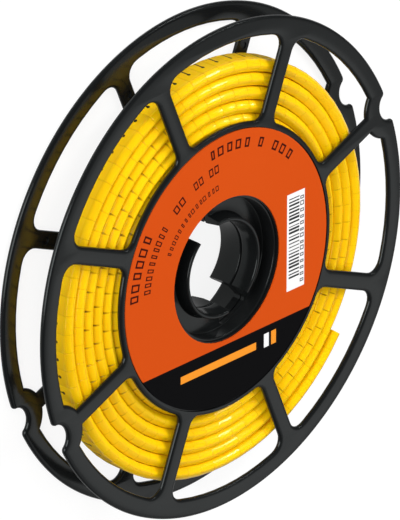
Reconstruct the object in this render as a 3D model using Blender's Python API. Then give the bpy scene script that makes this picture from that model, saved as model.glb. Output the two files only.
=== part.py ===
"""Open eight-spoke reel of clip-on cable markers: two flanges, a label and one wound strip.

Metres, +Z up. The reel lies on the outer face of its rear flange; the labelled face looks up.
Angles run counter-clockwise from +X, seen from above.
"""
import math

import bpy
from mathutils import Vector
from mathutils.geometry import delaunay_2d_cdt

MM = 0.001

# Driving dimensions, in millimetres and degrees
REEL_R = 54.0               # outside radius of both flanges
REEL_WIDTH = 12.6           # outer face to outer face
PLATE_T = 1.3               # thickness of rims, spokes and discs
EDGE_C = 0.45               # softened edge of the plates
RIM_BAND = 4.2              # radial width of the rim
DISC_R = 31.7               # disc that carries the label
SPOKES = 8
SPOKE_FIRST = 22.8          # angle of the first spoke
SPOKE_W = 3.9
WINDOW_CORNER_IN = 2.0      # corner radius of a window at the disc
WINDOW_CORNER_OUT = 3.0     # corner radius of a window at the rim
NOTCH_HALF = 3.35           # half width of the bite in the rim
NOTCH_DEPTH = 2.75
NOTCH_SPOKES = (0, 4)       # the two opposite spokes with a bite

BORE_R = 15.6               # opening in each disc
DRUM_R = 16.5               # the strip is wound over this
DRUM_WALL = 1.4
TUBE_R = 11.4               # outside of the hub's inner tube
TUBE_WALL = 1.8
TUBE_RISE = 0.3             # the tube's lip stands above the plate's inner face
LIP_C = 0.55                # softened lip of the tube
FRONT_REACH = 3.75          # how far in the front half hub reaches from its plate
HALF_GAP = 0.3              # between the two half hubs
FRONT_WEB = 0.85            # floor between tube and drum in the front half
REAR_WEB = 1.7
KEY_MID = 115.0             # two opposite keyways through web and tube
KEY_SPAN = 34.0

LABEL_GAP = 0.3             # clearance of the label in its recess, each way
LABEL_RIM = 1.4             # the label stops this far inside the disc's edge
LABEL_T = 0.25
LABEL_FLOOR_GAP = 0.05

TURN_PITCH = 2.77
TURN_GAP = 0.15             # clearance between two turns
STRIP_W = 6.6               # along the axis
STRIP_FLANGE_GAP = 0.35     # clearance to the front flange
STEPS_PER_TURN = 40         # whole number, so the corners of all turns line up
OUTER_END_ANGLE = -36.5
COIL_BELOW_RIM = 9.1        # from the reel's edge in to the centre line of the outer end
DRUM_GAP = 0.15             # clearance of the innermost turn over the drum
END_LIFT = 0.6              # the free end stands off by this
END_LIFT_SPAN = 80.0
COIL_SHIFT = (-0.20, -0.59)  # the coil hangs a little off the axis
SLACK = 0.75                # the outer turns stand off at the top by up to this
SLACK_MID = 95.0
SLACK_HALF = 70.0           # the slack fades out this many degrees to each side
SLACK_TURNS = 4.0           # and over this many turns inwards
POCKET_DEPTH = 3.0          # open ends of the strip
POCKET_WALL = 0.75

MARK_R = 0.8                # ejector marks on the inner faces of the spokes
MARK_BELOW_RIM = 9.3
MARK_DEPTH = 0.3

# Values that follow from the ones above
RIM_IN = REEL_R - RIM_BAND
STRIP_T = TURN_PITCH - TURN_GAP
LABEL_R = DISC_R - LABEL_RIM
OUTER_END_R = REEL_R - COIL_BELOW_RIM   # before the end's lift
INNER_END_R = DRUM_R + math.hypot(*COIL_SHIFT) + DRUM_GAP + STRIP_T / 2
STEPS = int((OUTER_END_R - INNER_END_R) / TURN_PITCH * STEPS_PER_TURN)
TURNS = STEPS / STEPS_PER_TURN
Z_FRONT = REEL_WIDTH
Z_FRONT_IN = REEL_WIDTH - PLATE_T
REAR_REACH = REEL_WIDTH - 2 * PLATE_T - FRONT_REACH - HALF_GAP
TROUGH_R = DRUM_R - DRUM_WALL
HUB_HOLE_R = TUBE_R - TUBE_WALL
RECESS_R = LABEL_R + LABEL_GAP
RECESS_DEPTH = LABEL_T + 0.15
STRIP_MID_Z = Z_FRONT_IN - STRIP_FLANGE_GAP - STRIP_W / 2


def polar(r, deg):
    a = math.radians(deg)
    return (r * math.cos(a), r * math.sin(a))


def arc(centre, radius, a0, a1, steps):
    return [(centre[0] + radius * math.cos(math.radians(a0 + (a1 - a0) * i / steps)),
             centre[1] + radius * math.sin(math.radians(a0 + (a1 - a0) * i / steps)))
            for i in range(steps + 1)]


def circle(radius, steps, first=0.0):
    return [polar(radius, first + 360.0 * i / steps) for i in range(steps)]


def inset(points, distance):
    """Move a counter-clockwise loop inwards; a negative distance moves it outwards."""
    out = []
    n = len(points)
    for i in range(n):
        a, b, c = (Vector(points[(i + k) % n]) for k in (-1, 0, 1))
        n1 = Vector((-(b - a).y, (b - a).x)).normalized()
        n2 = Vector((-(c - b).y, (c - b).x)).normalized()
        m = (n1 + n2).normalized()
        out.append(tuple(b + m * distance / max(0.5, m.dot(n1))))
    return out


class Shell:
    """Collects rings of vertices and the faces between them, in millimetres."""

    def __init__(self):
        self.verts = []
        self.faces = []

    def ring(self, points, z):
        first = len(self.verts)
        self.verts += [(x, y, z) for x, y in points]
        return list(range(first, first + len(points)))

    def wall(self, low, high, outward=True):
        n = len(low)
        for i in range(n):
            j = (i + 1) % n
            quad = (low[i], low[j], high[j], high[i])
            self.faces.append(quad if outward else quad[::-1])

    def cap(self, outer, holes, up):
        """Close a flat region between one outer ring and its holes."""
        rings = [outer] + list(holes)
        index = [v for r in rings for v in r]
        flat = [Vector(self.verts[v][:2]) for v in index]
        edges = []
        at = 0
        for r in rings:
            edges += [(at + i, at + (i + 1) % len(r)) for i in range(len(r))]
            at += len(r)
        pts, _, tris, origin, _, _ = delaunay_2d_cdt(flat, edges, [], 0, 1e-6)
        loops = [[self.verts[v][:2] for v in r] for r in rings]
        for tri in tris:
            c = sum((pts[i] for i in tri), Vector((0, 0))) / 3
            if inside(c, loops[0]) and not any(inside(c, h) for h in loops[1:]):
                face = [index[origin[i][0]] for i in tri]
                self.faces.append(face if up else face[::-1])

    def to_object(self, name, material):
        mesh = bpy.data.meshes.new(name)
        mesh.from_pydata([tuple(c * MM for c in v) for v in self.verts], [], self.faces)
        mesh.materials.append(material)
        mesh.update()
        obj = bpy.data.objects.new(name, mesh)
        bpy.context.scene.collection.objects.link(obj)
        return obj


def inside(p, loop):
    hit = False
    n = len(loop)
    for i in range(n):
        (x1, y1), (x2, y2) = loop[i], loop[(i + 1) % n]
        if (y1 > p[1]) != (y2 > p[1]) and p[0] < (x2 - x1) * (p[1] - y1) / (y2 - y1) + x1:
            hit = not hit
    return hit


def material(name, rgb, roughness):
    mat = bpy.data.materials.new(name)
    mat.use_nodes = True
    bsdf = mat.node_tree.nodes["Principled BSDF"]
    bsdf.inputs["Base Color"].default_value = (*rgb, 1.0)
    bsdf.inputs["Roughness"].default_value = roughness
    mat.diffuse_color = (*rgb, 1.0)
    return mat


def spoke_angle(k):
    return SPOKE_FIRST + 360.0 / SPOKES * k


def rim_outline():
    """Outer edge of a flange with its two rounded bites, counter-clockwise."""
    pts = []
    half = math.degrees(math.asin((NOTCH_HALF + 1.0) / REEL_R))
    for k, nk in enumerate(NOTCH_SPOKES):
        mid = spoke_angle(nk)
        nxt = spoke_angle(NOTCH_SPOKES[(k + 1) % 2]) + (360.0 if k == 1 else 0.0)
        ex = Vector(polar(1.0, mid))
        ey = Vector((-ex.y, ex.x))
        for u, share in ((-1.0, 0.09), (-0.86, 0.36), (-0.66, 0.69), (-0.36, 0.93), (0.0, 1.0),
                         (0.36, 0.93), (0.66, 0.71), (0.86, 0.42), (1.0, 0.11)):
            s = u * NOTCH_HALF
            r = math.sqrt(REEL_R ** 2 - s * s) - share * NOTCH_DEPTH
            pts.append(tuple(ex * r + ey * s))
        steps = 42
        lo, hi = mid + half, nxt - half
        pts += [polar(REEL_R, lo + (hi - lo) * i / steps) for i in range(steps + 1)]
    return pts


def window(k):
    """Opening between spoke k and the next one, counter-clockwise."""
    a_lo, a_hi = spoke_angle(k), spoke_angle(k + 1)
    ci, co = WINDOW_CORNER_IN, WINDOW_CORNER_OUT
    h = SPOKE_W / 2
    bulge_lo = k in NOTCH_SPOKES
    bulge_hi = (k + 1) % SPOKES in NOTCH_SPOKES

    def corner(base, side, r_edge, c, inner, from_spoke):
        """Rounded corner beside the spoke at angle base; side +1 lies counter-clockwise of it."""
        rc = r_edge + c if inner else r_edge - c
        off = h + c
        ex = Vector(polar(1.0, base))
        ey = Vector((-ex.y, ex.x)) * side
        centre = ex * math.sqrt(rc * rc - off * off) + ey * off
        to_spoke = math.degrees(math.atan2(-ey.y, -ey.x))
        to_edge = math.degrees(math.atan2(centre.y, centre.x)) + (180.0 if inner else 0.0)
        a0, a1 = (to_spoke, to_edge) if from_spoke else (to_edge, to_spoke)
        return arc(centre, c, a0, a0 + (a1 - a0 + 180.0) % 360.0 - 180.0, 4)

    def bulge(base, side):
        """The rim steps inwards beside a bitten spoke."""
        ex = Vector(polar(1.0, base))
        ey = Vector((-ex.y, ex.x)) * side
        n = NOTCH_HALF
        pts = [ex * (RIM_IN - drop) + ey * s
               for s, drop in ((h, 3.3), (h + 0.35, 2.8), (n + 0.55, 2.05),
                               (n + 1.35, 1.3), (n + 2.15, 0.55))]
        return [tuple(p) for p in pts]

    inner_lo = corner(a_lo, +1, DISC_R, ci, True, True)
    inner_hi = corner(a_hi, -1, DISC_R, ci, True, False)
    outer_hi = bulge(a_hi, -1) if bulge_hi else corner(a_hi, -1, RIM_IN, co, False, True)
    outer_lo = bulge(a_lo, +1)[::-1] if bulge_lo else corner(a_lo, +1, RIM_IN, co, False, False)

    def between(p, q, r, steps):
        a0 = math.degrees(math.atan2(p[1], p[0]))
        a1 = math.degrees(math.atan2(q[1], q[0]))
        while a1 - a0 > 180.0:
            a1 -= 360.0
        while a1 - a0 < -180.0:
            a1 += 360.0
        return [polar(r, a0 + (a1 - a0) * i / steps) for i in range(1, steps)]

    loop = list(outer_hi)
    loop += between(outer_hi[-1], outer_lo[0], RIM_IN, 8)
    loop += list(outer_lo)
    loop += list(inner_lo)
    loop += between(inner_lo[-1], inner_hi[0], DISC_R, 6)
    loop += list(inner_hi)
    return loop


def ccw(loop):
    area = sum(loop[i - 1][0] * loop[i][1] - loop[i][0] * loop[i - 1][1] for i in range(len(loop)))
    return loop if area > 0 else loop[::-1]


def half_hub(s, bore_low, reach, web):
    """Drum wall, web and tube below a plate with its inner face at zero.

    Returns the drum's outer ring at the plate. The two keyways leave out web and tube.
    """
    floor, end, lip = web - reach, -reach, TUBE_RISE
    profile = ((TUBE_R, floor), (TUBE_R, lip - LIP_C), (TUBE_R - LIP_C, lip),
               (HUB_HOLE_R + LIP_C, lip), (HUB_HOLE_R, lip - LIP_C), (HUB_HOLE_R, end))
    arcs = []
    for side in (0.0, 180.0):
        lo, hi = KEY_MID + side - KEY_SPAN / 2, KEY_MID + side + KEY_SPAN / 2
        arcs.append((True, [lo + KEY_SPAN * i / 4 for i in range(5)]))
        arcs.append((False, [hi + (180.0 - KEY_SPAN) * i / 14 for i in range(15)]))
    around = [polar(TROUGH_R, a) for _, part in arcs for a in part[:-1]]
    high, wall = s.ring(around, 0.0), s.ring(around, floor)
    s.cap(bore_low, [high], True)
    s.wall(wall, high, outward=False)

    outline, edges, at = [], [], 0
    for keyway, angles in arcs:
        rows = [[wall[(at + i) % len(wall)] for i in range(len(angles))]]
        at += len(angles) - 1
        steps = ((TROUGH_R, end),) if keyway else profile
        rows += [s.ring([polar(r, a) for a in angles], z) for r, z in steps]
        for a, b in zip(rows, rows[1:]):
            for i in range(len(angles) - 1):
                s.faces.append((a[i], a[i + 1], b[i + 1], b[i]))
        outline += rows[-1]
        edges.append(([r[0] for r in rows], [r[-1] for r in rows]))
    # Flat sides of web and tube towards the keyways
    for k in (0, 2):
        (key_first, key_last), (_, tube_last) = edges[k], edges[k - 1]
        s.faces.append([key_first[1]] + tube_last[::-1])
        s.faces.append(edges[k + 1][0] + [key_last[1]])

    drum_end = s.ring(circle(DRUM_R, 64), end)
    drum_top = s.ring(circle(DRUM_R, 64), 0.0)
    s.cap(drum_end, [outline], False)
    s.wall(drum_end, drum_top)
    return drum_top


def flange(name, mat, labelled):
    """One flange with its half hub, built with its outer face up and the axis along Z."""
    s = Shell()
    top, low = PLATE_T, 0.0
    c = EDGE_C
    rim = rim_outline()
    windows = [ccw(window(k)) for k in range(SPOKES)]

    def edge_rings(loop, sign):
        return (s.ring(inset(loop, sign * c), low), s.ring(loop, low + c),
                s.ring(loop, top - c), s.ring(inset(loop, sign * c), top))

    rings = edge_rings(rim, 1.0)
    for a, b in zip(rings, rings[1:]):
        s.wall(a, b)
    holes_low, holes_top = [], []
    for loop in windows:
        w = edge_rings(loop, -1.0)
        for a, b in zip(w, w[1:]):
            s.wall(a, b, outward=False)
        holes_low.append(w[0])
        holes_top.append(w[3])

    # Recess of the label, then the step down to the bore
    bore_top = top - RECESS_DEPTH if labelled else top
    bore_soft = s.ring(circle(BORE_R, 64), bore_top)
    bore_low = s.ring(circle(BORE_R, 64), low)
    if labelled:
        lip = s.ring(circle(RECESS_R, 80), top)
        floor = s.ring(circle(RECESS_R, 80), bore_top)
        s.cap(rings[3], holes_top + [lip], True)
        s.wall(floor, lip, outward=False)
        s.cap(floor, [bore_soft], True)
    else:
        s.cap(rings[3], holes_top + [bore_soft], True)
    s.wall(bore_low, bore_soft, outward=False)

    drum_top = half_hub(s, bore_low, FRONT_REACH if labelled else REAR_REACH,
                        FRONT_WEB if labelled else REAR_WEB)

    # Inner face with the ejector marks
    marks = []
    for k in range(SPOKES):
        m = polar(REEL_R - MARK_BELOW_RIM, spoke_angle(k))
        ring2d = [(m[0] + x, m[1] + y) for x, y in circle(MARK_R, 8)]
        edge = s.ring(ring2d, low)
        bed = s.ring(ring2d, low + MARK_DEPTH)
        s.wall(edge, bed, outward=False)
        s.cap(bed, [], False)
        marks.append(edge)
    s.cap(rings[0], holes_low + [drum_top] + marks, False)
    return s.to_object(name, mat)


def label(mat):
    s = Shell()
    z0 = Z_FRONT - RECESS_DEPTH + LABEL_FLOOR_GAP
    rings = []
    for z in (z0, z0 + LABEL_T):
        rings.append((s.ring(circle(LABEL_R, 80), z), s.ring(circle(BORE_R + LABEL_GAP, 64), z)))
    s.wall(rings[0][0], rings[1][0])
    s.wall(rings[0][1], rings[1][1], outward=False)
    s.cap(rings[1][0], [rings[1][1]], True)
    s.cap(rings[0][0], [rings[0][1]], False)
    return s.to_object("label", mat)


def strip_centre(turn):
    """Centre line of the strip; turn counts from the outer end inwards."""
    deg = OUTER_END_ANGLE - 360.0 * turn
    lift = max(0.0, 1.0 - 360.0 * turn / END_LIFT_SPAN)
    lift = lift * lift * (3.0 - 2.0 * lift)
    away = abs((deg - SLACK_MID + 180.0) % 360.0 - 180.0) / SLACK_HALF
    slack = 0.5 + 0.5 * math.cos(math.pi * min(1.0, away))
    slack *= max(0.0, 1.0 - turn / SLACK_TURNS)
    return deg, OUTER_END_R - TURN_PITCH * turn + END_LIFT * lift + SLACK * slack


def strip_section(turn, shrink=0.0):
    """Flattened oval of the strip, as eight points in space."""
    deg, r = strip_centre(turn)
    a, b = STRIP_W / 2 - shrink, STRIP_T / 2 - shrink
    out = []
    for u, v in ((1.0, -0.4), (0.62, -1.0), (-0.62, -1.0), (-1.0, -0.4),
                 (-1.0, 0.4), (-0.62, 1.0), (0.62, 1.0), (1.0, 0.4)):
        x, y = polar(r + v * b, deg)
        out.append((x + COIL_SHIFT[0], y + COIL_SHIFT[1], STRIP_MID_Z + u * a))
    return out


def marker_strip(mat):
    """The wound strip as one closed body with a short open pocket at each end."""
    s = Shell()

    def station(turn, shrink=0.0):
        first = len(s.verts)
        s.verts += strip_section(turn, shrink)
        return list(range(first, first + 8))

    pocket_turns = POCKET_DEPTH / (2 * math.pi * OUTER_END_R)
    outer = [station(i / STEPS_PER_TURN) for i in range(STEPS + 1)]
    for a, b in zip(outer, outer[1:]):
        s.wall(a, b)
    for end, way in ((0.0, 1), (TURNS, -1)):
        scale = 1.0 if way == 1 else OUTER_END_R / INNER_END_R
        mouth = station(end, POCKET_WALL)
        bed = station(end + way * pocket_turns * scale, POCKET_WALL)
        rim = outer[0] if way == 1 else outer[-1]
        s.wall(mouth, rim, outward=way == 1)
        s.wall(bed, mouth, outward=way == 1)
        s.faces.append(bed[::-1] if way == 1 else bed)
    return s.to_object("marker_strip", mat)


def main():
    for obj in list(bpy.data.objects):
        bpy.data.objects.remove(obj, do_unlink=True)
    black = material("black_plastic", (0.035, 0.037, 0.037), 0.42)
    orange = material("label_film", (0.67, 0.08, 0.008), 0.55)
    yellow = material("yellow_plastic", (0.85, 0.56, 0.01), 0.36)

    front = flange("front_flange", black, True)
    for v in front.data.vertices:
        v.co.z += Z_FRONT_IN * MM
    rear = flange("rear_flange", black, False)
    for v in rear.data.vertices:
        v.co.z = (PLATE_T * MM) - v.co.z
    rear.data.flip_normals()
    label(orange)
    marker_strip(yellow)


main()
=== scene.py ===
# %% [markdown]
# # A reel of clip-on cable markers
#
# The real thing is a thin reel of black plastic, about 108 mm across. Two spoked flanges
# hold a coil of small yellow markers, which an electrician cuts off and pushes over a
# wire. A round film label sits on the front flange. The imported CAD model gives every
# size here: it is loaded first and is never moved. The pieces below are modelled around
# it, in the same frame, with Z along the reel's axis and the label facing up.

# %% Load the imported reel
import math

import bpy
from mathutils import Matrix, Vector


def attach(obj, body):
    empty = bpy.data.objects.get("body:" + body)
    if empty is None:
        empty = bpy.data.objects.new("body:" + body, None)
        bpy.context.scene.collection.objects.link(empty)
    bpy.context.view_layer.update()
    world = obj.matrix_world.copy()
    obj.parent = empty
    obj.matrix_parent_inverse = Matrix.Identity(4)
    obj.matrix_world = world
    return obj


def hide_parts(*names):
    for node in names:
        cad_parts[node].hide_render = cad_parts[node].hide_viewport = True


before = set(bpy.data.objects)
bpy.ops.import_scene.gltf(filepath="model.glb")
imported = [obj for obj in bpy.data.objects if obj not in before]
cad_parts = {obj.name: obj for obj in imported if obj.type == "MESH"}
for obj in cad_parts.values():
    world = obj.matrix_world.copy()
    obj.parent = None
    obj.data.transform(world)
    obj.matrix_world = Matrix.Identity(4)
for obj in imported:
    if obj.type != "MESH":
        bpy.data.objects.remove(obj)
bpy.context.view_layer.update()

MM = 0.001

# %% [markdown]
# ## Sizes
#
# A moulding is drawn from a handful of numbers, so they stand together here. They repeat
# the CAD part's own sizes. Angles run counter-clockwise from +X, seen from above, and
# lengths are in millimetres.

# %% Sizes of the flanges
REEL_R = 54.0
RIM_IN = 49.8
DISC_R = 31.7               # the disc that carries the label
BORE_R = 15.6
PLATE_T = 1.3
FRONT_Z = 12.6              # outer face of the front flange
RECESS_R, RECESS_Z = 30.6, 12.2
SPOKES = 8
SPOKE_FIRST = 22.8
SPOKE_HALF = 1.95
BITTEN = (0, 4)             # the spokes with a bite in the rim outside them


def spoke_angle(k):
    return SPOKE_FIRST + 360.0 / SPOKES * k


print("spokes at degrees:", [round(spoke_angle(k), 1) for k in range(SPOKES)])


# %% Places given by an angle
SAME_SPOT = 1e-6            # metres: points closer than this are one point


def polar(radius, degrees, z=0.0):
    a = math.radians(degrees)
    return Vector((radius * math.cos(a), radius * math.sin(a), z)) * MM


def tangent(degrees):
    a = math.radians(degrees)
    return Vector((-math.sin(a), math.cos(a), 0.0))


# %% [markdown]
# ## A few helpers for working by hand
#
# Most operators act on whatever is selected, so it pays to start each step from a clean
# selection. These helpers select one object, and pick edges or faces by where they are.

# %% Select objects, and pick their parts
def select_only(obj):
    bpy.ops.object.select_all(action="DESELECT")
    obj.select_set(True)
    bpy.context.view_layer.objects.active = obj


def pick(kind, test):
    """Select the vertices, edges or faces of the active object that pass a test."""
    bpy.ops.object.mode_set(mode="EDIT")
    bpy.ops.mesh.select_mode(type=kind)
    bpy.ops.mesh.select_all(action="DESELECT")
    bpy.ops.object.mode_set(mode="OBJECT")
    mesh = bpy.context.active_object.data
    parts = {"VERT": mesh.vertices, "EDGE": mesh.edges, "FACE": mesh.polygons}[kind]
    count = 0
    for part in parts:
        if test(part):
            part.select = True
            count += 1
    bpy.ops.object.mode_set(mode="EDIT")
    return count


def weld(threshold=SAME_SPOT, turn_out=True):
    """Merge the doubles of the active object and point its faces outwards."""
    bpy.ops.object.mode_set(mode="EDIT")
    bpy.ops.mesh.select_all(action="SELECT")
    bpy.ops.mesh.remove_doubles(threshold=threshold)
    if turn_out:
        bpy.ops.mesh.normals_make_consistent(inside=False)
    bpy.ops.object.mode_set(mode="OBJECT")


def apply_place():
    bpy.ops.object.transform_apply(location=True, rotation=True, scale=True)


# %% [markdown]
# ## Cutting with simple tools
#
# The flanges are cut as one cuts them in the Modifiers tab: add a Boolean, apply it, drop
# the tool. Two tools do nearly all the work. One is a cylinder between two heights. The
# other is a wedge of a ring, which is a rectangle standing on a radius and spun about the
# reel's axis. A cutter always runs a little past the plastic, because faces that lie in
# one plane make a Boolean fail. A Boolean also leaves its vertices in a chance order, and
# bevels and welds follow that order. They are sorted after each cut, so that every run
# ends with the same points.

# %% Apply modifiers and cut
CLEAR = 1.0                 # how far a cutter runs past the plastic
SORT_FROM = (0.7321, 0.4127, 0.2913)    # metres


def apply_modifier(obj, kind, **settings):
    select_only(obj)
    mod = obj.modifiers.new(kind.title(), kind)
    for key, value in settings.items():
        setattr(mod, key, value)
    bpy.ops.object.modifier_apply(modifier=mod.name)


def put_in_order(obj):
    """Number the parts of a mesh by their distance from one odd point off to the side."""
    select_only(obj)
    bpy.context.scene.cursor.location = SORT_FROM
    bpy.ops.object.mode_set(mode="EDIT")
    bpy.ops.mesh.select_all(action="SELECT")
    bpy.ops.mesh.sort_elements(type="CURSOR_DISTANCE", elements={"VERT", "EDGE", "FACE"})
    bpy.ops.object.mode_set(mode="OBJECT")


def boolean(obj, tool, operation="DIFFERENCE"):
    apply_modifier(obj, "BOOLEAN", object=tool, operation=operation, solver="EXACT")
    bpy.data.objects.remove(tool, do_unlink=True)
    put_in_order(obj)


# %% A cylinder and a wedge
def cylinder(name, radius, z_low, z_high, centre=(0.0, 0.0), sides=128):
    bpy.ops.object.select_all(action="DESELECT")
    bpy.ops.mesh.primitive_cylinder_add(
        vertices=sides, radius=radius * MM, depth=(z_high - z_low) * MM,
        location=(centre[0] * MM, centre[1] * MM, (z_low + z_high) / 2 * MM))
    obj = bpy.context.active_object
    obj.name = name
    apply_place()
    return obj


def wedge(name, radii, angles, heights, steps):
    (r_low, r_high), (first, last), (z_low, z_high) = radii, angles, heights
    bpy.ops.object.select_all(action="DESELECT")
    bpy.ops.mesh.primitive_plane_add(size=1.0, rotation=(math.pi / 2, 0, 0))
    obj = bpy.context.active_object
    obj.name = name
    obj.scale = ((r_high - r_low) * MM, (z_high - z_low) * MM, 1.0)
    obj.location = ((r_low + r_high) / 2 * MM, 0.0, (z_low + z_high) / 2 * MM)
    apply_place()
    obj.rotation_euler = (0, 0, math.radians(first))
    bpy.ops.object.transform_apply(rotation=True)
    bpy.ops.object.mode_set(mode="EDIT")
    bpy.ops.mesh.select_all(action="SELECT")
    # the spin tool turns clockwise about an axis that points at the viewer
    bpy.ops.mesh.spin(steps=steps, angle=math.radians(first - last), center=(0, 0, 0),
                      axis=(0, 0, 1))
    bpy.ops.object.mode_set(mode="OBJECT")
    weld()
    return obj


# %% [markdown]
# ## The open windows between the spokes
#
# It is easier to shape the hole than the frame around it. Each window starts as a wedge
# of a ring. Its two ends are turned a little, so that the spoke between two windows keeps
# one width. The four upright edges are then bevelled, which gives the rounded corners.
# Beside a bitten spoke the rim needs more plastic, so there the wedge loses a round bite
# of its own instead.

# %% Turn the ends of a window
BLANK_T = 1.0               # the flat outline that the windows are cut from
WINDOW_MID_R = (DISC_R + RIM_IN) / 2
WINDOW_STEPS = 10
CORNER_IN, CORNER_OUT = 2.0, 3.0
CORNER_SEGMENTS = 6
BOSS_R = 7.3                # the plastic round a bite


def turn_end(obj, angle, turn):
    """Turn one flat end of a wedge about an upright line through its middle."""
    pick("VERT", lambda v: abs(v.co.dot(tangent(angle))) < SAME_SPOT)
    bpy.ops.object.mode_set(mode="OBJECT")
    middle = polar(WINDOW_MID_R, angle)
    turned = Matrix.Translation(middle) @ Matrix.Rotation(math.radians(turn), 4, "Z")
    for v in obj.data.vertices:
        if v.select:
            v.co = turned @ (v.co - middle)


def is_corner(obj, edge, k, outer, bitten):
    """An upright edge where window k meets a spoke, at the rim or at the disc."""
    a, b = (obj.data.vertices[i].co for i in edge.vertices)
    off_spoke = min(abs(a.dot(tangent(spoke_angle(s)))) for s in (k, k + 1)) / MM
    off_boss = min([(a.xy - polar(REEL_R, spoke_angle(s)).xy).length / MM for s in bitten],
                   default=REEL_R)
    return ((a - b).xy.length < SAME_SPOT and off_spoke < SPOKE_HALF + 0.05
            and off_boss > BOSS_R + 0.2 and (a.xy.length / MM > WINDOW_MID_R) == outer)


# %% Shape the window cutters
def window_cutter(k):
    lean = math.degrees(math.asin(SPOKE_HALF / WINDOW_MID_R))
    ends = (spoke_angle(k) + lean, spoke_angle(k + 1) - lean)
    obj = wedge(f"window_{k + 1}", (DISC_R, RIM_IN), ends, (-CLEAR, BLANK_T + CLEAR),
                WINDOW_STEPS)
    turn_end(obj, ends[0], -lean)
    turn_end(obj, ends[1], lean)
    bitten = [s for s in BITTEN if s in (k, (k + 1) % SPOKES)]
    for s in bitten:
        x, y, _ = polar(REEL_R, spoke_angle(s)) / MM
        boolean(obj, cylinder("boss", BOSS_R, -3 * CLEAR, BLANK_T + 3 * CLEAR, (x, y), 64))
    for outer, radius in ((False, CORNER_IN), (True, CORNER_OUT)):
        if pick("EDGE", lambda e: is_corner(obj, e, k, outer, bitten)):
            bpy.ops.mesh.bevel(offset=radius * MM, segments=CORNER_SEGMENTS, affect="EDGES")
        bpy.ops.object.mode_set(mode="OBJECT")
    return obj


windows = [window_cutter(k) for k in range(SPOKES)]
print("window cutters:", [len(w.data.vertices) for w in windows])

# %% [markdown]
# ## From a cut-out disc to a moulding with round edges
#
# The flange is first cut out of a plain disc with Booleans: windows, bore and two bites.
# That gives a true outline, but hard edges. Bevelling the edges of so busy a face is
# fragile. A flat curve is kinder: the outline is turned into a curve, which fills itself
# and rounds every edge alike through its own bevel. In the photo the edges of the spokes
# are rounder across than they are deep, so the curve is made too thick and then pressed
# to the plate's thickness.

# %% Keep only the outline of a flat solid
def keep_top_outline(solid):
    select_only(solid)
    top = max(v.co.z for v in solid.data.vertices)
    pick("FACE", lambda f: f.normal.z > 0.99 and abs(f.center.z - top) < SAME_SPOT)
    bpy.ops.mesh.region_to_loop()
    bpy.ops.mesh.select_all(action="INVERT")
    bpy.ops.mesh.delete(type="EDGE")
    bpy.ops.mesh.select_all(action="SELECT")
    bpy.ops.mesh.delete(type="ONLY_FACE")
    bpy.ops.object.mode_set(mode="OBJECT")


# %% Turn an outline into a rounded plate
EDGE_ACROSS = 0.85          # how far the rounding runs over the face of a plate
EDGE_SEGMENTS = 3
FLAT_SHARE = 0.02           # the upright part of an edge, as a share of its rounding


def signed_area(points):
    return sum(a.x * b.y - b.x * a.y for a, b in zip(points, points[1:] + points[:1])) / 2


def point_inwards(curve):
    """Give the outermost loop one direction and the loops inside it the other."""
    sizes = [signed_area([p.co for p in s.points]) for s in curve.splines]
    widest = max(range(len(sizes)), key=lambda i: abs(sizes[i]))
    bpy.ops.object.mode_set(mode="EDIT")
    bpy.ops.curve.select_all(action="DESELECT")
    for i, spline in enumerate(curve.splines):
        if (sizes[i] > 0) != (i == widest):
            for p in spline.points:
                p.select = True
    bpy.ops.curve.switch_direction()
    bpy.ops.object.mode_set(mode="OBJECT")


def rounded_plate(outline, z_low, z_high):
    """A plate between two heights, filled from flat outlines, with all its edges rounded."""
    select_only(outline)
    bpy.ops.object.convert(target="CURVE")
    curve = outline.data
    curve.dimensions = "2D"
    point_inwards(curve)
    curve.fill_mode = "BOTH"
    curve.extrude = FLAT_SHARE * EDGE_ACROSS * MM
    curve.bevel_depth = EDGE_ACROSS * MM
    curve.bevel_resolution = EDGE_SEGMENTS
    curve.offset = -EDGE_ACROSS * MM
    bpy.ops.object.convert(target="MESH")
    outline.scale.z = (z_high - z_low) * MM / outline.dimensions.z
    outline.location.z = (z_low + z_high) / 2 * MM
    apply_place()
    weld(2 * SAME_SPOT)
    return outline


# %% [markdown]
# ## The outline of a flange
#
# Both flanges share one outline, so it is cut once. The bite is an oval post standing on
# the rim's edge. Its two corners are softened on the flat outline: the neighbours of a
# corner are dissolved first, because a bevel can't grow past the next vertex.

# %% Cut the outline
BITE_HALF, BITE_DEPTH, BITE_SOFT = 3.35, 2.75, 0.9

disc = cylinder("flange_outline", REEL_R, 0.0, BLANK_T, sides=256)
for window in windows:
    boolean(disc, window)
boolean(disc, cylinder("bore", BORE_R, -CLEAR, BLANK_T + CLEAR))
for s in BITTEN:
    bite = cylinder("bite", 1.0, -CLEAR, BLANK_T + CLEAR, sides=48)
    bite.scale = (BITE_DEPTH, BITE_HALF, 1.0)
    bite.rotation_euler.z = math.radians(spoke_angle(s))
    bite.location = polar(REEL_R, spoke_angle(s))
    apply_place()
    boolean(disc, bite)
keep_top_outline(disc)
print("outline vertices:", len(disc.data.vertices))

# %% Soften the corners of the bites
corners = []
for s in BITTEN:
    for side in (-1, 1):
        spot = polar(REEL_R, spoke_angle(s) + side * math.degrees(BITE_HALF / REEL_R))
        near = min(disc.data.vertices, key=lambda v: (v.co.xy - spot.xy).length)
        corners.append(near.co.copy())
for corner in corners:
    pick("VERT", lambda v: SAME_SPOT < (v.co - corner).length < BITE_SOFT * 1.05 * MM)
    bpy.ops.mesh.dissolve_verts()
    bpy.ops.object.mode_set(mode="OBJECT")
for corner in corners:
    if pick("VERT", lambda v: (v.co - corner).length < SAME_SPOT):
        bpy.ops.mesh.bevel(offset=BITE_SOFT * MM, segments=4, affect="VERTICES")
    bpy.ops.object.mode_set(mode="OBJECT")
print("softened corners:", len(corners))

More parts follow.
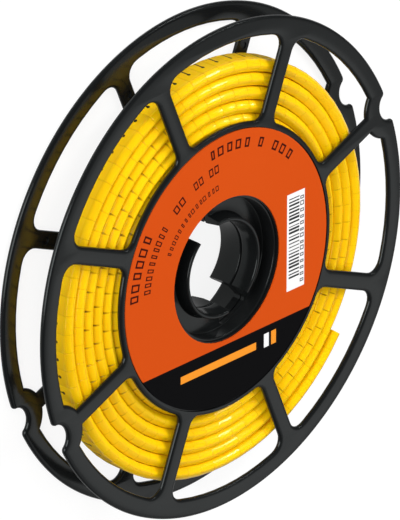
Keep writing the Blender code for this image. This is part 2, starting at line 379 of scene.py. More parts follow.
# %% [markdown]
# ## The two half hubs
#
# Each flange carries one half of the hub. Cut through the axis, a half hub is a drum wall,
# a floor and a tube whose wall thins towards a round lip, so it is a turned part. Its
# section is drawn as a closed line. A vertex bevel rounds the corners, once for the lip
# and once for the rest, and the spin tool turns the section about the axis. The two
# keyways are wedges, cut out afterwards. The front half is the shorter one: the seam
# inside the tube lies nearer to the label, as in the photo.

# %% Sizes of the hub
DRUM_R = 16.5               # the strip is wound over this
TROUGH_R = 15.1             # inside of the drum's wall
TUBE_R, HUB_HOLE_R = 11.4, 9.6
HUB_TOP, LIP_Z = 11.65, 11.6
LIP_IN, LIP_OUT = 10.15, 10.95
LIP_TAPER = 3.4             # how deep the hole widens towards the lip
LIP_ROUND, HUB_ROUND = 0.32, 0.25
KEY_IN, KEY_OUT, KEY_ROUND = 7.0, 14.75, 0.8
KEY_MID, KEY_SPAN = 115.0, 34.0
FRONT_END, FRONT_FLOOR = 7.55, 8.4
REAR_END, REAR_FLOOR = 5.35, 7.05       # before the rear flange is mirrored


# %% Turn a section about the axis
def path_curve(name, points, cyclic=False):
    data = bpy.data.curves.new(name, "CURVE")
    data.dimensions = "3D"
    data.twist_mode = "Z_UP"
    spline = data.splines.new("POLY")
    spline.points.add(len(points) - 1)
    spline.use_cyclic_u = cyclic
    for p, co in zip(spline.points, points):
        p.co = (*co, 1.0)
    obj = bpy.data.objects.new(name, data)
    bpy.context.scene.collection.objects.link(obj)
    return obj


def turned_part(name, section):
    """A ring turned from corners (radius, height, rounding)."""
    obj = path_curve(name, [Vector((r, 0.0, z)) * MM for r, z, _ in section], cyclic=True)
    select_only(obj)
    bpy.ops.object.convert(target="MESH")
    for rounding in (LIP_ROUND, HUB_ROUND):
        spots = [Vector((r, 0.0, z)) * MM for r, z, wanted in section if wanted == rounding]
        pick("VERT", lambda v: min((v.co - spot).length for spot in spots) < SAME_SPOT)
        bpy.ops.mesh.bevel(offset=rounding * MM, segments=4, affect="VERTICES")
        bpy.ops.object.mode_set(mode="OBJECT")
    bpy.ops.object.mode_set(mode="EDIT")
    bpy.ops.mesh.select_all(action="SELECT")
    bpy.ops.mesh.spin(steps=128, angle=2 * math.pi, center=(0, 0, 0), axis=(0, 0, 1))
    bpy.ops.object.mode_set(mode="OBJECT")
    weld()
    return obj


# %% Make the half hubs and cut their keyways
def keyway(middle, end):
    first, last = middle - KEY_SPAN / 2, middle + KEY_SPAN / 2
    key = wedge("keyway", (KEY_IN, KEY_OUT), (first, last), (end - CLEAR, LIP_Z + CLEAR),
                steps=8)
    ends = [polar(KEY_OUT, angle) for angle in (first, last)]
    pick("EDGE", lambda e: all(min((key.data.vertices[i].co.xy - spot.xy).length
                                   for spot in ends) < SAME_SPOT for i in e.vertices))
    bpy.ops.mesh.bevel(offset=KEY_ROUND * MM, segments=5, affect="EDGES")
    bpy.ops.object.mode_set(mode="OBJECT")
    return key


def half_hub(name, end, floor):
    obj = turned_part(name, [
        (DRUM_R, end, HUB_ROUND), (DRUM_R, HUB_TOP, 0.0), (TROUGH_R, HUB_TOP, HUB_ROUND),
        (TROUGH_R, floor, HUB_ROUND), (TUBE_R, floor, HUB_ROUND),
        (LIP_OUT, LIP_Z, LIP_ROUND), (LIP_IN, LIP_Z, LIP_ROUND),
        (HUB_HOLE_R, LIP_Z - LIP_TAPER, 0.0), (HUB_HOLE_R, end, HUB_ROUND)])
    for middle in (KEY_MID, KEY_MID + 180.0):
        boolean(obj, keyway(middle, end))
    print(name, "faces:", len(obj.data.polygons))
    return obj


front_hub = half_hub("front_hub", FRONT_END, FRONT_FLOOR)
rear_hub = half_hub("rear_hub", REAR_END, REAR_FLOOR)

# %% [markdown]
# ## Two flanges from one shape
#
# The plate and the half hub are united into one moulding. Small round ejector marks are
# sunk into the inner faces of the spokes, as an injection mould leaves them. The rear
# flange is a mirrored copy: a mirror turns a shape inside out, so its normals are put
# right. Only the front one gets the shallow recess that takes the label.

# %% Make the plate, mark it and copy it
MARK_RADIUS_AT, MARK_R, MARK_DEPTH = 44.7, 0.8, 0.25
INNER_FACE_Z = FRONT_Z - PLATE_T

front = rounded_plate(disc, INNER_FACE_Z, FRONT_Z)
for k in range(SPOKES):
    x, y, _ = polar(MARK_RADIUS_AT, spoke_angle(k)) / MM
    boolean(front, cylinder("mark", MARK_R, INNER_FACE_Z - CLEAR, INNER_FACE_Z + MARK_DEPTH,
                            (x, y), sides=24))
select_only(front)
bpy.ops.object.duplicate()
rear = bpy.context.active_object
boolean(front, cylinder("recess", RECESS_R, RECESS_Z, FRONT_Z + CLEAR, sides=160))
print("ejector marks on each flange:", SPOKES)

# %% Unite each plate with its half hub
SLIVER = 0.004              # a Boolean leaves edges shorter than this
PLATE_SMOOTH = 32.0         # degrees

for plate, hub in ((front, front_hub), (rear, rear_hub)):
    boolean(plate, hub, "UNION")
    weld(SLIVER * MM, turn_out=False)

select_only(rear)
rear.scale.z = -1.0
rear.location.z = FRONT_Z * MM
apply_place()
weld()

for piece, name in ((front, "front_moulding"), (rear, "rear_moulding")):
    piece.name = piece.data.name = name
    select_only(piece)
    bpy.ops.object.shade_smooth_by_angle(angle=math.radians(PLATE_SMOOTH))
    print(name, "faces:", len(piece.data.polygons))

# %% [markdown]
# ## One marker
#
# The strip is a long plastic tube of flattened section, nicked every 4 mm so that single
# markers snap off. One marker starts as a block. A flat bevel on its four long edges
# makes the shoulders, and a second, small one softens them. The block is made too wide
# and then pressed, so the shoulders lean: their flat faces catch the lamp on one marker
# in each turn. Two bisect cuts close to the ends make a ring each, and drawing the end
# rings in gives half of the nick.

# %% Model one marker
MARKER_L, STRIP_W, STRIP_T = 4.0, 6.6, 2.72
SHOULDER, SHOULDER_EDGE, SHOULDER_PRESS = 1.08, 0.34, 0.76
NICK_HALF = 0.08
NICK_SHRINK = (1.0, 0.955, 0.98)

bpy.ops.object.select_all(action="DESELECT")
bpy.ops.mesh.primitive_cube_add(size=1.0, location=(MARKER_L / 2 * MM, 0, 0))
strip = bpy.context.active_object
strip.name = "marker_coil"
strip.scale = Vector((MARKER_L, STRIP_T, STRIP_W / SHOULDER_PRESS)) * MM
apply_place()


def runs_along_x(edge):
    a, b = (strip.data.vertices[i].co for i in edge.vertices)
    return abs(a.x - b.x) > 0.5 * MARKER_L * MM


for offset, segments in ((SHOULDER, 1), (SHOULDER_EDGE, 2)):
    pick("EDGE", runs_along_x)
    bpy.ops.mesh.bevel(offset=offset * MM, segments=segments, affect="EDGES")
    bpy.ops.object.mode_set(mode="OBJECT")
strip.scale.z = SHOULDER_PRESS
apply_place()
print("marker section:", [round(d / MM, 2) for d in strip.dimensions])

# %% Nick both ends of the marker
for x in (NICK_HALF, MARKER_L - NICK_HALF):
    pick("FACE", lambda f: True)
    bpy.ops.mesh.bisect(plane_co=(x * MM, 0, 0), plane_no=(1, 0, 0), threshold=SAME_SPOT)
    bpy.ops.object.mode_set(mode="OBJECT")
pick("FACE", lambda f: abs(f.normal.x) > 0.9)
bpy.ops.mesh.delete(type="ONLY_FACE")
bpy.ops.object.mode_set(mode="OBJECT")
for x in (0.0, MARKER_L):
    pick("VERT", lambda v: abs(v.co.x - x * MM) < SAME_SPOT)
    bpy.ops.transform.resize(value=NICK_SHRINK)
    bpy.ops.object.mode_set(mode="OBJECT")
print("one marker:", len(strip.data.vertices), "vertices,", len(strip.data.polygons), "faces")

# %% [markdown]
# ## A map that follows the strip
#
# The print and the nicks have to follow the strip wherever it bends, so they are drawn in
# a UV map. Here u runs along the marker and v runs round it. The seam of v lies at the
# inner side, where the next turn hides it. A face that crosses the seam gets its corners
# moved by a whole round, so that it isn't stretched across the map.

# %% Unwrap the marker
def round_section(co):
    return math.atan2(co.z / STRIP_W, co.y / STRIP_T)


if not strip.data.uv_layers:
    strip.data.uv_layers.new(name="UVMap")
uv = strip.data.uv_layers[0]
for face in strip.data.polygons:
    middle = round_section(face.center)
    for i in face.loop_indices:
        co = strip.data.vertices[strip.data.loops[i].vertex_index].co
        around = round_section(co)
        if around - middle > math.pi:
            around -= 2 * math.pi
        elif middle - around > math.pi:
            around += 2 * math.pi
        uv.data[i].uv = (co.x / MARKER_L / MM, around / (2 * math.pi) + 0.5)
print("UV map:", uv.name)

# %% [markdown]
# ## Winding the strip
#
# An Array modifier lines up the markers and welds them end to end. It also shifts the UV
# map by one unit per marker, so the material can tell the markers apart. A Curve modifier
# then lays the row along a flat spiral, from the free outer end in to the drum. A marker
# stays straight and the strip bends only at its nicks, so the path is a row of chords, one
# per marker, with a few extra points close to each bend. The coil is soft: it hangs a
# little off the axis, its free end springs out and the outer turns are slack at the top.

# %% The spiral
TURN_PITCH = 2.77
TURNS = 9.475
OUTER_END_ANGLE, OUTER_END_R = -36.5, 44.9
END_LIFT, END_LIFT_SPAN = 0.6, 80.0
SLACK, SLACK_MID, SLACK_HALF, SLACK_TURNS = 0.75, 95.0, 70.0, 4.0
COIL_SHIFT = Vector((-0.20, -0.59, 0.0)) * MM
STRIP_Z = 7.65
RIPPLES = ((0.08, 9.1, 0.5), (0.04, 23.7, 0.0))     # height, rate and start of each


def spiral_point(turn):
    angle = OUTER_END_ANGLE - 360.0 * turn
    lift = max(0.0, 1.0 - 360.0 * turn / END_LIFT_SPAN)
    away = abs((angle - SLACK_MID + 180.0) % 360.0 - 180.0) / SLACK_HALF
    slack = (0.5 + 0.5 * math.cos(math.pi * min(1.0, away))) * max(0.0, 1.0 - turn / SLACK_TURNS)
    radius = OUTER_END_R - TURN_PITCH * turn + END_LIFT * lift * lift * (3.0 - 2.0 * lift)
    rise = sum(size * math.sin(rate * turn + start) for size, rate, start in RIPPLES)
    return polar(radius + SLACK * slack, angle, STRIP_Z + rise) + COIL_SHIFT


# %% One chord for each marker
CHORD_SHARES = (0.0, 0.007, 0.014, 0.021, 0.25, 0.5, 0.75, 0.979, 0.986, 0.993)

bends, turn = [spiral_point(0.0)], 0.0
while turn < TURNS:
    step = MARKER_L / (2 * math.pi * bends[-1].xy.length / MM)
    for _ in range(4):
        step *= MARKER_L * MM / (spiral_point(turn + step) - bends[-1]).length
    turn += step
    bends.append(spiral_point(turn))
count = len(bends) - 1
route = [a.lerp(b, share) for a, b in zip(bends, bends[1:]) for share in CHORD_SHARES]
spiral = path_curve("winding_path", route + [bends[-1]])
print("markers:", count, "turns:", round(turn, 2))

# %% Repeat the marker and wind the row
apply_modifier(strip, "ARRAY", fit_type="FIXED_COUNT", count=count, use_relative_offset=False,
               use_constant_offset=True, constant_offset_displace=(MARKER_L * MM, 0, 0),
               use_merge_vertices=True, merge_threshold=0.005 * MM, offset_u=1.0)
apply_modifier(strip, "CURVE", object=spiral, deform_axis="POS_X")
bpy.data.objects.remove(spiral, do_unlink=True)
print("strip length in mm:", count * MARKER_L)

# %% [markdown]
# ## The open ends of the strip
#
# The welded row is a tube that is open at both ends. Each end is filled, inset by a hair,
# drawn in to leave the wall of the marker, and pushed in, so the free end shows a hollow
# marker. A plain wide inset would fold over at the short edges of the rounded corners.

# %% Close the ends into short pockets
WALL, POCKET, HAIR = 0.5, 2.6, 0.02
STRIP_SMOOTH = 28.0         # degrees

select_only(strip)
bpy.ops.object.mode_set(mode="EDIT")
bpy.ops.mesh.select_mode(type="EDGE")
bpy.ops.mesh.select_all(action="DESELECT")
bpy.ops.mesh.select_non_manifold()
bpy.ops.mesh.fill_holes(sides=0)
bpy.ops.mesh.select_all(action="SELECT")
bpy.ops.mesh.normals_make_consistent(inside=False)
bpy.ops.object.mode_set(mode="OBJECT")


def is_cap(face):
    return len(face.vertices) > 8


caps = [f.center.copy() for f in strip.data.polygons if is_cap(f)]
across, along = 1.0 - 2.0 * WALL / STRIP_T, 1.0 - 2.0 * WALL / STRIP_W
for centre in caps:
    pick("FACE", lambda f: is_cap(f) and (f.center - centre).length < SAME_SPOT)
    bpy.ops.mesh.inset(thickness=HAIR * MM, depth=0.0)
    bpy.ops.transform.resize(value=(across, across, along), center_override=centre)
    bpy.ops.mesh.inset(thickness=HAIR * MM, depth=-POCKET * MM)
    bpy.ops.object.mode_set(mode="OBJECT")
select_only(strip)
bpy.ops.object.shade_smooth_by_angle(angle=math.radians(STRIP_SMOOTH))
print("open ends:", len(caps), "faces:", len(strip.data.polygons))

# %% [markdown]
# ## Small tools for node materials
#
# A print is a stack of yes-or-no masks: above this line, inside that ring. Each mask is
# a Math node, so a few short functions that add and join such nodes keep the materials
# readable. A soft edge on a mask avoids a stair-stepped line.

# %% Add nodes and join them
def new_material(name):
    mat = bpy.data.materials.new(name)
    mat.use_nodes = True
    tree = mat.node_tree
    return mat, tree, tree.nodes["Principled BSDF"]


def node(tree, kind, inputs=None, **settings):
    n = tree.nodes.new(kind)
    for key, value in settings.items():
        setattr(n, key, value)
    for key, value in (inputs or {}).items():
        if isinstance(value, bpy.types.NodeSocket):
            tree.links.new(value, n.inputs[key])
        else:
            n.inputs[key].default_value = value
    return n


def calc(tree, operation, a, b=0.0, c=0.0):
    return node(tree, "ShaderNodeMath", {0: a, 1: b, 2: c}, operation=operation).outputs[0]


def times(tree, first, *others):
    for other in others:
        first = calc(tree, "MULTIPLY", first, other)
    return first


def opposite(tree, mask):
    return calc(tree, "SUBTRACT", 1.0, mask)


def axes_of(tree, vector):
    return node(tree, "ShaderNodeSeparateXYZ", {0: vector}).outputs


def object_coordinates(tree):
    return node(tree, "ShaderNodeTexCoord").outputs["Object"]


# %% Masks, colours and noises
def ramp(tree, value, start, end, low=0.0, high=1.0):
    """Low where value is at start, high where it is at end, and even in between."""
    return node(tree, "ShaderNodeMapRange",
                {"Value": value, "From Min": start, "From Max": end,
                 "To Min": low, "To Max": high}).outputs[0]


def above(tree, value, edge, soft):
    """1 where value is over edge, 0 below it, with a soft step between."""
    return ramp(tree, value, edge - soft, edge + soft)


def between(tree, value, low, high, soft):
    return times(tree, above(tree, value, low, soft),
                 opposite(tree, above(tree, value, high, soft)))


def mix(tree, share, a, b):
    return node(tree, "ShaderNodeMix", {0: share, 6: a, 7: b}, data_type="RGBA").outputs[2]


def noise(tree, where, scale, detail=2.0):
    return node(tree, "ShaderNodeTexNoise",
                {"Vector": where, "Scale": scale, "Detail": detail}).outputs["Fac"]


def chance(tree, number):
    """A value from 0 to 1 that stays the same for each whole number."""
    return node(tree, "ShaderNodeTexWhiteNoise", {"W": number},
                noise_dimensions="1D").outputs["Value"]


def bump(tree, shader, height, strength, distance):
    n = node(tree, "ShaderNodeBump",
             {"Height": height, "Strength": strength, "Distance": distance})
    tree.links.new(n.outputs[0], shader.inputs["Normal"])


def give_finish(piece, mat):
    piece.data.materials.clear()
    piece.data.materials.append(mat)
    print(piece.name, "wears", mat.name, "with", len(mat.node_tree.nodes), "nodes")


# %% [markdown]
# ## Black moulded plastic
#
# The flanges are a near-black, slightly cool plastic with a satin skin. Two noises do the
# work: a broad one shifts the colour and the gloss a little, as handling does, and a fine
# one gives the faint spark-eroded grain of the mould. The base colour is darker than the
# plastic looks in the photo, because most of what one sees of it is reflected light.

# %% Black plastic
BLACK_LOW, BLACK_HIGH = (0.0045, 0.0050, 0.0052, 1), (0.0075, 0.0082, 0.0085, 1)
BLACK_ROUGHNESS = (0.14, 0.21)


def black_plastic():
    mat, tree, shader = new_material("black_plastic_moulded")
    where = object_coordinates(tree)
    broad = noise(tree, where, 60.0, 3.0)
    tree.links.new(mix(tree, broad, BLACK_LOW, BLACK_HIGH), shader.inputs["Base Color"])
    tree.links.new(ramp(tree, broad, 0.0, 1.0, *BLACK_ROUGHNESS), shader.inputs["Roughness"])
    shader.inputs["Specular Tint"].default_value = (0.93, 1.0, 0.99, 1)
    bump(tree, shader, noise(tree, where, 2600.0), 0.12, 0.03 * MM)
    return mat


black = black_plastic()
give_finish(front, black)
give_finish(rear, black)

# %% [markdown]
# ## Yellow marker plastic
#
# The markers are a warm, half-gloss yellow, and no two have quite the same shade. A thin
# line of painted shade marks each nick. On the inner turns the nicks gape, and their dark
# slits are painted shade too: at the front shoulder on the left of the reel, and at the
# inner shoulder on its right, as the photo's light and view have it. The numbers below are
# shares of a marker's length, or of the way round its section, where the middle of the
# outer side is at 0.5.

# %% Shades of the markers, and the painted shade of their nicks and slits
YELLOW_LOW, YELLOW_HIGH = (0.91, 0.540, 0.002, 1), (0.94, 0.595, 0.004, 1)
YELLOW_WARM = (0.86, 0.470, 0.003, 1)
# the nick and slit colours below are painted shade, not colours of the plastic
NICK_PAINTED_SHADE, SLIT_PAINTED_SHADE = (0.30, 0.100, 0.002, 1), (0.120, 0.045, 0.002, 1)
FRONT_SHOULDER, INNER_SHOULDER = (0.56, 0.68), (0.77, 0.89)
FIRST_INNER_MARKER = 128.0


def nick_painted_shade(tree, body, to_end):
    # painted shade: a thin darker line along each nick, standing in for the shade in the cut
    line = opposite(tree, above(tree, to_end, 0.024, 0.012))
    return mix(tree, times(tree, line, 0.16), body, NICK_PAINTED_SHADE)


def slit_painted_shade(tree, where, number, to_end, round_it, luck):
    # painted shade: dark slits where the nicks gape, on the inner turns only, placed on the left
    # and lower right of the reel where the light leaves them dark
    x, y, _ = axes_of(tree, where)
    left = times(tree, ramp(tree, x, -8.0 * MM, -22.0 * MM),
                 above(tree, y, -20.0 * MM, 6.0 * MM))
    left = calc(tree, "MULTIPLY_ADD", left, 0.8, 0.2)
    right = times(tree, ramp(tree, x, 6.0 * MM, 20.0 * MM),
                  ramp(tree, y, 12.0 * MM, -4.0 * MM))
    place = calc(tree, "MAXIMUM",
                 times(tree, between(tree, round_it, *FRONT_SHOULDER, 0.05), left),
                 times(tree, between(tree, round_it, *INNER_SHOULDER, 0.03), right))
    gap = opposite(tree, above(tree, to_end, 0.040, 0.016))
    wound_in = above(tree, number, FIRST_INNER_MARKER, 6.0)
    return times(tree, gap, place, wound_in, calc(tree, "MULTIPLY_ADD", luck, 0.5, 0.35))


# %% [markdown]
# Each marker carries one printed stroke with a dot at its end. The stroke runs over the
# broad outer side and stops at the front shoulder. The dot has to be round on the strip
# and not in the map, so its distances are worked out in millimetres.

# %% The printed stroke
STROKE_ALONG, STROKE_ROUND = (0.455, 0.545), (0.20, 0.505)
DOT_AT, DOT_R = 0.505, 0.36
ROUND_SPAN = math.pi * STRIP_W          # millimetres per unit of v on the outer side
INK = (0.012, 0.008, 0.006, 1)


def printed_stroke(tree, along, round_it):
    stroke = times(tree, between(tree, along, *STROKE_ALONG, 0.012),
                   between(tree, round_it, *STROKE_ROUND, 0.006))
    off_u = calc(tree, "MULTIPLY_ADD", along, MARKER_L, -0.5 * MARKER_L)
    off_v = calc(tree, "MULTIPLY_ADD", round_it, ROUND_SPAN, -DOT_AT * ROUND_SPAN)
    away = calc(tree, "SQRT", calc(tree, "ADD", times(tree, off_u, off_u),
                                   times(tree, off_v, off_v)))
    return calc(tree, "MAXIMUM", stroke, opposite(tree, above(tree, away, DOT_R, 0.05)))


# %% [markdown]
# The gloss isn't even either. The outer side, which takes the print, is duller than the
# shoulders: a mirror-like skin there would turn grey where one looks along it. A little
# subsurface light keeps the shaded grooves between the turns warm.

# %% Yellow plastic
GLOSS_ROUGHNESS, OUTER_ROUGHNESS = 0.14, 0.60
OUTER_SIDE = (0.30, 0.575)


def yellow_plastic():
    mat, tree, shader = new_material("yellow_plastic_marker")
    where = object_coordinates(tree)
    u, v, _ = axes_of(tree, node(tree, "ShaderNodeUVMap", uv_map="UVMap").outputs[0])
    along, round_it = calc(tree, "FRACT", u), calc(tree, "FRACT", v)
    to_end = calc(tree, "MINIMUM", along, opposite(tree, along))
    luck = chance(tree, calc(tree, "FLOOR", u))
    body = mix(tree, noise(tree, where, 90.0), YELLOW_LOW, YELLOW_HIGH)
    body = mix(tree, times(tree, luck, 0.30), body, YELLOW_WARM)
    # painted shade along the nicks
    body = nick_painted_shade(tree, body, to_end)
    # painted shade in the gaping nicks
    body = mix(tree, slit_painted_shade(tree, where, u, to_end, round_it, luck), body, SLIT_PAINTED_SHADE)
    body = mix(tree, printed_stroke(tree, along, round_it), body, INK)
    tree.links.new(body, shader.inputs["Base Color"])
    outer = between(tree, round_it, *OUTER_SIDE, 0.02)
    tree.links.new(calc(tree, "MULTIPLY_ADD", outer, OUTER_ROUGHNESS - GLOSS_ROUGHNESS,
                        GLOSS_ROUGHNESS), shader.inputs["Roughness"])
    shader.inputs["Specular IOR Level"].default_value = 0.36
    shader.inputs["Specular Tint"].default_value = (1.0, 0.93, 0.62, 1)
    shader.inputs["Subsurface Weight"].default_value = 0.25
    shader.inputs["Subsurface Radius"].default_value = (1.0, 0.45, 0.05)
    shader.inputs["Subsurface Scale"].default_value = 1.0 * MM
    bump(tree, shader, noise(tree, where, 900.0), 0.06, 0.04 * MM)
    return mat


give_finish(strip, yellow_plastic())

# %% [markdown]
# ## The label
#
# The label is a ring of orange film with a near-black segment at its foot and a white
# panel at its right. Its print is made of plain shapes: rows of hollow boxes, a panel of
# uneven bars, and at the foot a long bar with two blocks. Straight borders read the
# Object coordinates. Rows that follow the ring use the radius and the angle, which Math
# nodes make from the same coordinates.

# %% Where the shapes stand
RING_ROWS = (                           # low and high radius, first and last angle, pitch
    (26.3, 28.4, 45.0, 62.0, 5.6),
    (26.3, 28.4, 66.5, 72.0, 5.5),
    (26.3, 28.4, 75.5, 103.0, 5.5),
    (26.5, 28.9, 146.5, 177.5, 5.2),
    (22.8, 24.7, 96.0, 104.0, 4.0),
    (22.8, 24.7, 107.5, 115.3, 3.9),
    (22.8, 24.7, 122.0, 132.0, 5.0),
    (23.0, 24.9, 139.5, 175.0, 3.55),
    (18.9, 20.1, 97.5, 154.5, 3.8))
PANEL = (18.1, 23.5, -11.3, 10.7)       # low and high x, low and high y
PANEL_BARS = (18.7, 21.9, -8.8, 10.1)
PANEL_ROW = (22.15, 23.25, -10.4, 9.9, 1.45)
BAR_PITCH = 0.78
FOOT_Y = -16.87
FOOT_BAR = (-14.0, 8.8, -21.3, -19.6)
FOOT_BLOCK_WHITE = (11.2, 12.7, -21.7, -18.6)
FOOT_BLOCK_ORANGE = (13.4, 14.9, -21.7, -18.6)
CRISP = 0.05                            # half the width of a printed edge


# %% Rows of hollow boxes
def box_row(tree, along, across, low, high, first, last, pitch):
    """A row of plain hollow boxes along a line, of uneven widths."""
    beat = calc(tree, "DIVIDE", calc(tree, "SUBTRACT", along, first), pitch)
    share = calc(tree, "FRACT", beat)
    luck = chance(tree, calc(tree, "ADD", calc(tree, "FLOOR", beat), low))
    right = calc(tree, "MULTIPLY_ADD", luck, 0.36, 0.50)
    line = 0.19 * (high - low)

    def upright(start, inset):
        past = calc(tree, "SUBTRACT", share, calc(tree, "SUBTRACT", right, inset))
        return times(tree, above(tree, share, start, 0.03),
                     opposite(tree, above(tree, past, 0.0, 0.03)))

    box = times(tree, upright(0.10, 0.0), between(tree, across, low, high, CRISP))
    hole = times(tree, upright(0.26, 0.16),
                 between(tree, across, low + line, high - line, CRISP))
    return times(tree, box, opposite(tree, hole), between(tree, along, first, last, 0.05))


# %% Rectangles and bars
def rectangle(tree, x, y, sides):
    return times(tree, between(tree, x, *sides[:2], CRISP), between(tree, y, *sides[2:], CRISP))


def uneven_bars(tree, x, y):
    slot = calc(tree, "DIVIDE", y, BAR_PITCH)
    luck = chance(tree, calc(tree, "FLOOR", slot))
    past = calc(tree, "SUBTRACT", calc(tree, "FRACT", slot),
                calc(tree, "MULTIPLY_ADD", luck, 0.45, 0.25))
    return times(tree, opposite(tree, above(tree, past, 0.0, 0.03)),
                 rectangle(tree, x, y, PANEL_BARS))


# %% Label film
ORANGE_LOW, ORANGE_HIGH = (0.550, 0.062, 0.0024, 1), (0.580, 0.070, 0.0036, 1)
ROW_INK, PANEL_INK = (0.040, 0.003, 0.002, 1), (0.020, 0.020, 0.022, 1)
PANEL_ROW_INK = (0.050, 0.050, 0.055, 1)
PANEL_WHITE, FOOT_BLACK = (0.80, 0.79, 0.79, 1), (0.0025, 0.0025, 0.003, 1)
FOOT_ORANGE, FOOT_WHITE = (0.80, 0.270, 0.020, 1), (0.80, 0.80, 0.80, 1)


def label_film():
    mat, tree, shader = new_material("label_film_printed")
    where = object_coordinates(tree)
    x, y = (calc(tree, "DIVIDE", axis, MM) for axis in axes_of(tree, where)[:2])
    radius = calc(tree, "SQRT", calc(tree, "ADD", times(tree, x, x), times(tree, y, y)))
    angle = times(tree, calc(tree, "ARCTAN2", y, x), 180.0 / math.pi)
    colour = mix(tree, noise(tree, where, 50.0), ORANGE_LOW, ORANGE_HIGH)
    layers = [(box_row(tree, angle, radius, *row), ROW_INK) for row in RING_ROWS]
    layers += [(rectangle(tree, x, y, PANEL), PANEL_WHITE),
               (uneven_bars(tree, x, y), PANEL_INK),
               (box_row(tree, y, x, *PANEL_ROW), PANEL_ROW_INK),
               (opposite(tree, above(tree, y, FOOT_Y, CRISP)), FOOT_BLACK),
               (rectangle(tree, x, y, FOOT_BAR), FOOT_ORANGE),
               (rectangle(tree, x, y, FOOT_BLOCK_WHITE), FOOT_WHITE),
               (rectangle(tree, x, y, FOOT_BLOCK_ORANGE), FOOT_ORANGE)]
    for mask, shade in layers:
        colour = mix(tree, mask, colour, shade)
    tree.links.new(colour, shader.inputs["Base Color"])
    shader.inputs["Roughness"].default_value = 0.50
    shader.inputs["Specular IOR Level"].default_value = 0.06
    bump(tree, shader, noise(tree, where, 1500.0), 0.06, 0.02 * MM)
    return mat


give_finish(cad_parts["label"], label_film())

# %% [markdown]
# ## What each piece is, and what carries it
#
# The reel has no joints, so everything rides on its one body. The two mouldings and the
# coil stand for the plain CAD solids. The label's CAD solid stays, with its new finish.

# %% Tell the frame about the pieces
for piece, cad_node, finish in ((front, "front_flange", "black_plastic"),
                                (rear, "rear_flange", "black_plastic"),
                                (strip, "marker_strip", "yellow_plastic")):
    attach(piece, "root")
    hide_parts(cad_node)
    print(piece.name, "stands for", cad_node)

# %% [markdown]
# ## The floor
#
# The reel lies on a plain pale floor. The floor has a light of its own that only the
# camera sees in full, so it reads as white and still keeps the reel's shadow, and it
# throws no extra light on the object. Reflections see a weaker copy of it: in full
# strength it would turn the black plastic grey.

# %% Floor
FLOOR_SIZE, FLOOR_DROP = 6.0, 0.02
FLOOR_GREY = (0.16, 0.16, 0.16, 1)
FLOOR_SEEN, FLOOR_MIRRORED = 0.86, 0.30

bpy.ops.object.select_all(action="DESELECT")
bpy.ops.mesh.primitive_plane_add(size=FLOOR_SIZE, location=(0, 0, -FLOOR_DROP * MM))
floor = bpy.context.active_object
floor.name = "floor"
mat, tree, shader = new_material("floor_white")
shader.inputs["Base Color"].default_value = FLOOR_GREY
shader.inputs["Roughness"].default_value = 0.9
shader.inputs["Specular IOR Level"].default_value = 0.0
shader.inputs["Emission Color"].default_value = (1, 1, 1, 1)
rays = node(tree, "ShaderNodeLightPath").outputs
own_light = calc(tree, "MULTIPLY_ADD", rays["Is Camera Ray"], FLOOR_SEEN,
                 times(tree, rays["Is Glossy Ray"], FLOOR_MIRRORED))
tree.links.new(own_light, shader.inputs["Emission Strength"])
give_finish(floor, mat)

# %% [markdown]
# ## The sky
#
# An even, soft sky lights everything. Satin black plastic shows little but what it
# mirrors, and an even white sky would make it grey all over. So reflections see a dim
# sky with one soft glow, on the side that the flat faces mirror towards the camera. The
# glow grows with the cosine of the angle to its direction, which is a dot product.

# %% World
SKY_SEEN, SKY_LIGHT = 1.0, 0.55
GLOW_TOWARDS = Vector((0.50, -0.58, 0.64)).normalized()
GLOW_COSINES, GLOW_LEVELS = (0.70, 0.98), (0.04, 0.32)

scene = bpy.context.scene
scene.world = bpy.data.worlds.new("soft_sky")
scene.world.use_nodes = True
tree = scene.world.node_tree
sky = tree.nodes["Background"]
sky.inputs["Color"].default_value = (1.0, 1.0, 1.0, 1)
rays = node(tree, "ShaderNodeLightPath").outputs
plain = calc(tree, "MULTIPLY_ADD", rays["Is Camera Ray"], SKY_SEEN - SKY_LIGHT, SKY_LIGHT)
cosine = node(tree, "ShaderNodeVectorMath",
              {0: node(tree, "ShaderNodeTexCoord").outputs["Generated"], 1: GLOW_TOWARDS},
              operation="DOT_PRODUCT").outputs["Value"]
glow = ramp(tree, cosine, *GLOW_COSINES, *GLOW_LEVELS)
strength = node(tree, "ShaderNodeMix", {0: rays["Is Glossy Ray"], 2: plain, 3: glow},
                data_type="FLOAT").outputs[0]
tree.links.new(strength, sky.inputs["Strength"])
print("world nodes:", len(tree.nodes))

# %% [markdown]
# ## The lamps
#
# The main light comes from the photo's upper right. A large lamp gives it its softness
# but hides from reflections, and a small one in the same place gives the crisp highlight
# on one marker of each turn. Two fills open up the left side and the coil's outer face.
# The last lamp is seen only in reflections, where it lifts the lower rim and spokes.

# %% Lamps
UPPER_RIGHT = (0.62, 0.50, 0.60)


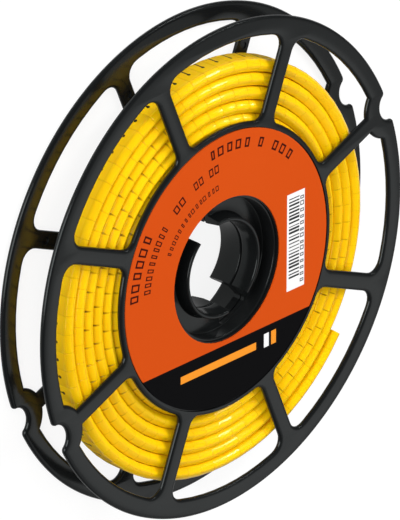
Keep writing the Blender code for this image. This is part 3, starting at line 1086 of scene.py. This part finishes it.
def softbox(name, direction, distance, size, power, about=(0.0, 0.0, 0.0)):
    """A square lamp, metres away in a direction, that faces a point given in millimetres."""
    data = bpy.data.lights.new(name, "AREA")
    data.size = size
    data.energy = power
    lamp = bpy.data.objects.new(name, data)
    scene.collection.objects.link(lamp)
    lamp.location = Vector(about) * MM + Vector(direction).normalized() * distance
    lamp.rotation_euler = Vector(direction).to_track_quat("Z", "Y").to_euler()
    print(name, "watts:", power)
    return lamp


key = softbox("key", UPPER_RIGHT, 1.20, 0.70, 9.0)
spark = softbox("spark", UPPER_RIGHT, 1.20, 0.11, 2.6)
fill = softbox("fill", (-0.85, 0.15, 0.48), 1.00, 0.70, 4.0)
low_fill = softbox("low_fill", (-0.76, 0.64, 0.09), 0.90, 0.55, 8.0)
sheen = softbox("sheen", (0.66, -0.42, 0.62), 0.40, 0.15, 0.021, about=(-8.0, -30.0, FRONT_Z))
key.visible_glossy = False
low_fill.visible_glossy = False
sheen.visible_diffuse = False

# %% [markdown]
# ## The camera
#
# A long lens looks steeply across the label, and the camera is rolled, as in the photo.
# RIGHT and UP are the directions of the photo's edges in the reel's own frame. They were
# found by fitting the rim, the spokes and the hub of both flanges to the photo.

# %% Camera
RIGHT = Vector((0.6839, 0.0000, 0.7295)).normalized()
UP = Vector((0.3065, 0.9075, -0.2873)).normalized()
AHEAD = UP.cross(RIGHT).normalized()
UP = RIGHT.cross(AHEAD)
LABEL_Z = 12.03
MOVE_RIGHT, MOVE_UP, MOVE_BACK = -5.2768, 1.8542, 1205.204

camera_data = bpy.data.cameras.new("camera")
camera_data.sensor_fit = "AUTO"
camera_data.sensor_width = 36.0
camera_data.lens = 406.8
camera_data.clip_start, camera_data.clip_end = 0.05, 20.0
camera = bpy.data.objects.new("camera", camera_data)
scene.collection.objects.link(camera)
spot = Vector((0, 0, LABEL_Z)) + MOVE_RIGHT * RIGHT + MOVE_UP * UP - MOVE_BACK * AHEAD
facing = Matrix((RIGHT, UP, -AHEAD)).transposed().to_4x4()
camera.matrix_world = Matrix.Translation(spot * MM) @ facing
scene.camera = camera
scene.view_settings.view_transform = "Standard"
print("camera at mm:", [round(c, 1) for c in spot])
